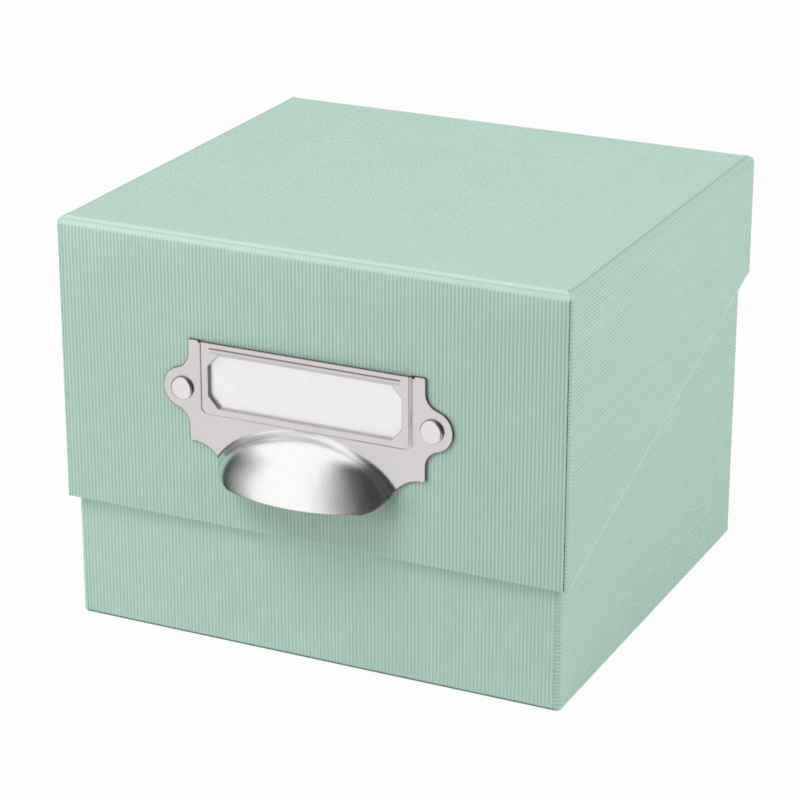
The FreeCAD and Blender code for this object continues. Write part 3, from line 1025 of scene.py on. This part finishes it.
def make_rivet(name, x, material):
    """One rivet, turned: flat head with a rounded rim, shank, and clinched end inside the lid."""
    head_out = front_y - rivet_low.y
    tail_out = front_y - rivet_high.y
    seat_out = tail_out + 0.6
    rim_round = 0.75
    shank = 1.5
    roll = 0.55
    roll_x = 1.55
    # head, hardly crowned, and its rim
    profile = [(0, head_out), (1.6, head_out - 0.015), (2.6, head_out - 0.04)]
    for turn in quarter(6):
        radius = head_radius - rim_round + rim_round * math.sin(turn)
        profile.append((radius, head_out - 0.06 - rim_round + rim_round * math.cos(turn)))
    profile += [(head_radius, sheet_metal + 0.1), (head_radius - 0.1, sheet_metal)]
    # shank, and the end rolled out over its washer with a dished middle
    profile += [(shank, sheet_metal), (shank, seat_out), (roll_x + roll, seat_out)]
    for turn in quarter(5)[1:]:
        profile.append((roll_x + roll * math.cos(turn), seat_out - roll * math.sin(turn)))
    profile += [(1.2, seat_out - 0.42), (0.9, seat_out - 0.3), (0, seat_out - 0.3)]
    turns = 64
    rivet = Sheet()
    for i in range(turns + 1):
        angle = 2 * math.pi * i / turns
        for radius, out in profile:
            # Painted shade on the head's side and on the shank and clinched end inside the lid
            dark = 0.7 * (radius > head_radius - 0.12 or out < sheet_metal)
            across = radius * math.cos(angle)
            rivet.add((x + across, front_y - out, rivet_z + radius * math.sin(angle)), dark)
    rivet.grid(0, turns + 1, len(profile), False)
    return rivet.build(name, material)


def make_strip(material):
    """The hinge strip: one folded ribbon, glued to the back wall and inside the lid's skirt."""
    leaf_low, leaf_high = read_box("hinge_leaf_body")
    skirt_low, skirt_high = read_box("hinge_leaf_lid")
    body_y = (leaf_low.y + leaf_high.y) / 2
    lid_y = (skirt_low.y + skirt_high.y) / 2
    half = (leaf_high.y - leaf_low.y) / 2
    radius = (lid_y - body_y) / 2
    fold_steps = 10
    line = [(body_y, z, -1, 0) for z in spaced(leaf_high.z, leaf_low.z, 1.0)]
    for i in range(1, fold_steps):
        turn = math.pi * i / fold_steps
        line.append((body_y + radius - radius * math.cos(turn),
                     leaf_low.z - radius * math.sin(turn), -math.cos(turn), -math.sin(turn)))
    line += [(lid_y, z, 1, 0) for z in spaced(leaf_low.z, leaf_high.z, 1.0)]
    loop = [(y + half * ny, z + half * nz) for y, z, ny, nz in line]
    loop += [(y - half * ny, z - half * nz) for y, z, ny, nz in reversed(line)]
    loop.append(loop[0])
    ribbon = Sheet()
    places = spaced(leaf_low.x, leaf_high.x, 8)
    for x in places:
        for y, z in loop:
            ribbon.add((x, y, z))
    ribbon.grid(0, len(places), len(loop), False)
    count = len(loop) - 1
    last = len(ribbon.points) - len(loop)
    for start, flip in ((0, True), (last, False)):
        for i in range(len(line) - 1):
            quad = [start + i, start + i + 1, start + count - 2 - i, start + count - 1 - i]
            ribbon.faces.append(quad[::-1] if flip else quad)
    return ribbon.build("hinge_strip", material, weld=0.001), body_y, lid_y


# The pieces

paper = ribbed_paper()
board = grey_board()
lining = plain_paper("lining_paper", (0.86, 0.85, 0.80), (0.80, 0.785, 0.73))
card = plain_paper("card_stock", (0.95, 0.95, 0.95), (0.92, 0.92, 0.92), 0.85)
underside = plain_paper("base_paper", (0.44, 0.60, 0.51), (0.40, 0.56, 0.47))
cloth = hinge_cloth()
plate = nickel("satin_nickel", 0.24, 0.36)
bright = nickel("rivet_nickel", 0.2, 0.3, 1.17)

finishes = {"board": board, "lining": lining, "label_card": card, "base_sheet": underside,
            "washer": bright}
for node, part in frame["nodes"].items():
    part.data.materials.clear()
    part.data.materials.append(next((finishes[key] for key in finishes if key in node), paper))

lid_shell = Shell(closed_z=lid_high.z, up=1, half_w=lid_high.x, half_d=lid_high.y, wall=2.2,
                  long_h=lid_high.z - lid_low.z, short_h=lid_high.z - back_skirt_low, to_back=1,
                  edge=3.0, corner=1.0, crease=0.8, seam_dark=2.0, scuff=0.0, end_tone=1.0)
lid_paper = lid_shell.make("lid_paper", paper)
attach(lid_paper, "lid")
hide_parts("lid_cover")

body_shell = Shell(closed_z=body_low.z, up=-1, half_w=body_high.x, half_d=body_high.y, wall=2.6,
                   long_h=body_high.z - body_low.z, short_h=front_rim - body_low.z, to_back=-1,
                   edge=1.5, corner=2.0, crease=0, seam_dark=0.3, scuff=1.8, end_tone=0.5)
body_paper = body_shell.make("body_paper", paper)
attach(body_paper, "body")
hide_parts("body_cover")

pull = make_pull(plate)
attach(pull, "lid")
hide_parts("label_pull")

for name, x in (("rivet_left", -rivet_x), ("rivet_right", rivet_x)):
    rivet = make_rivet(name, x, bright)
    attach(rivet, "lid")
    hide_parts("rivets")

strip, strip_start, strip_end = make_strip(cloth)
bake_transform(strip)
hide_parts("hinge_leaf_body", "hinge_leaf_lid")


# The studio, in metres

floor_reach = 30
floor_shade = 0.6
floor_white = 0.965  # how much of the camera's floor is plain white, without its shadow
soft_light = 0.29


def camera():
    """The photograph's camera, fitted to the box's edges."""
    azimuth = math.radians(25.5145)
    elevation = math.radians(21.0996)
    roll = math.radians(0.0412)
    focal_px = 2937.96
    photo_px = 800
    place = Vector((398.77, -848.74, 425.71)) * mm
    back = Vector((math.sin(azimuth) * math.cos(elevation),
                   -math.cos(azimuth) * math.cos(elevation), math.sin(elevation)))
    right = Vector((0, 0, 1)).cross(back).normalized()
    up = back.cross(right)
    level_right = math.cos(roll) * right + math.sin(roll) * up
    level_up = -math.sin(roll) * right + math.cos(roll) * up
    data = bpy.data.cameras.new("camera")
    data.sensor_width = 36
    data.lens = focal_px * data.sensor_width / photo_px
    made = add_object("camera", data)
    turn = Matrix((level_right, level_up, back)).transposed().to_4x4()
    made.matrix_world = Matrix.Translation(place) @ turn
    bpy.context.scene.camera = made


def lamp(name, place, aim, size, power):
    """A square lamp that no gloss shows."""
    data = bpy.data.lights.new(name, "AREA")
    data.shape = "RECTANGLE"
    data.size = size
    data.size_y = size
    data.energy = power
    made = add_object(name, data)
    made.location = place
    made.rotation_euler = (Vector(aim) - Vector(place)).to_track_quat("-Z", "Y").to_euler()
    made.visible_glossy = False


def bare_material(mesh):
    """A material for a mesh of the studio: its node tree, and the tree's only node, the output."""
    material = bpy.data.materials.new(mesh.name)
    material.use_nodes = True
    mesh.materials.append(material)
    tree = material.node_tree
    tree.nodes.clear()
    return tree, tree.nodes.new("ShaderNodeOutputMaterial")


def flag(name, radius, columns, rows):
    """A graded card bent round the cup, glowing from dark to white so the metal reflects it; only
    metal sees it.

    columns are (turn in degrees from the front, shade, lowest height), and rows above the lowest
    one are (height, share of white).
    """
    mesh = bpy.data.meshes.new(name)
    places = []
    shades = []
    for height, white in ((None, 0), *rows):
        for turn, shade, lowest in columns:
            angle = math.radians(turn)
            places.append((radius * math.sin(angle), front_y * mm - radius * math.cos(angle),
                           lowest if height is None else height))
            shades.append(shade + white * (1 - shade))
    mesh.from_pydata(places, [], grid_quads(0, len(rows) + 1, len(columns)))
    mesh.attributes.new("shade", "FLOAT", "POINT").data.foreach_set("value", shades)
    made = add_object(name, mesh)
    made.visible_camera = False
    made.visible_diffuse = False
    made.visible_shadow = False
    made.visible_transmission = False
    tree, output = bare_material(mesh)
    glow = tree.nodes.new("ShaderNodeEmission")
    shade = tree.nodes.new("ShaderNodeAttribute")
    shade.attribute_name = "shade"
    tree.links.new(shade.outputs["Fac"], glow.inputs["Color"])
    tree.links.new(glow.outputs[0], output.inputs[0])


def floor():
    """A pale floor: nearly white to the camera, but it keeps the shadow."""
    mesh = bpy.data.meshes.new("floor")
    far = floor_reach
    corners = [(-far, -far, 0), (far, -far, 0), (far, far, 0), (-far, far, 0)]
    mesh.from_pydata(corners, [], [(0, 1, 2, 3)])
    made = add_object("floor", mesh)
    made.visible_glossy = False
    tree, output = bare_material(mesh)
    diffuse = tree.nodes.new("ShaderNodeBsdfDiffuse")
    diffuse.inputs["Color"].default_value = (floor_shade, floor_shade, floor_shade, 1)
    glow = tree.nodes.new("ShaderNodeEmission")
    seen = tree.nodes.new("ShaderNodeLightPath")
    share = tree.nodes.new("ShaderNodeMath")
    share.operation = "MULTIPLY"
    share.inputs[1].default_value = floor_white
    mix = tree.nodes.new("ShaderNodeMixShader")
    tree.links.new(seen.outputs["Is Camera Ray"], share.inputs[0])
    tree.links.new(share.outputs[0], mix.inputs[0])
    tree.links.new(diffuse.outputs[0], mix.inputs[1])
    tree.links.new(glow.outputs[0], mix.inputs[2])
    tree.links.new(mix.outputs[0], output.inputs[0])


def world():
    """Even soft light; the camera and the metal see a white surround."""
    made = bpy.data.worlds.new("world")
    bpy.context.scene.world = made
    made.use_nodes = True
    tree = made.node_tree
    background = tree.nodes["Background"]
    background.inputs["Color"].default_value = (1, 1, 1, 1)
    seen = tree.nodes.new("ShaderNodeLightPath")
    white = seen.outputs["Is Camera Ray"]
    for kind in ("Is Glossy Ray", "Is Transmission Ray"):
        either = tree.nodes.new("ShaderNodeMath")
        either.operation = "MAXIMUM"
        tree.links.new(white, either.inputs[0])
        tree.links.new(seen.outputs[kind], either.inputs[1])
        white = either.outputs[0]
    strength = tree.nodes.new("ShaderNodeMapRange")
    fill(strength, {"To Min": soft_light, "To Max": 1.0})
    tree.links.new(white, strength.inputs["Value"])
    tree.links.new(strength.outputs["Result"], background.inputs["Strength"])


camera()
lamp("key_lamp", (-0.48, -0.75, 1.28), (0, 0, 0.07), 0.7, 9.2)
lamp("left_lamp", (-0.75, -0.6, 0.15), (0, -0.08, 0.05), 0.3, 2.4)
lamp("right_lamp", (1.2, 0.05, 0.6), (0.09, 0, 0.07), 0.6, 7.7)
lamp("back_lamp", (-0.4, 1.2, 0.8), (0, 0, 0.1), 0.6, 3.5)
lamp("top_lamp", (-0.1, 0.1, 1.3), (0, 0, 0.1), 0.8, 0.5)
flag("right_flag", 0.5, ((-8, 1.0, -0.35), (3, 0.75, -0.35), (14, 0.4, -0.35), (28, 0.1, -0.35),
                         (46, 0.04, -0.35), (56, 0.04, -0.18), (70, 0.08, 0.0), (88, 0.2, 0.0)),
     ((1.1, 0), (2.2, 1)))
flag("left_flag", 0.25, ((-122, 0.1, -0.15), (-105, 0.03, -0.15), (-88, 0.04, -0.15),
                         (-74, 0.2, -0.15), (-60, 0.6, -0.15), (-50, 1.0, -0.15)),
     ((0.14, 0), (0.26, 1)))
floor()
world()

bpy.context.scene.view_settings.view_transform = "Standard"
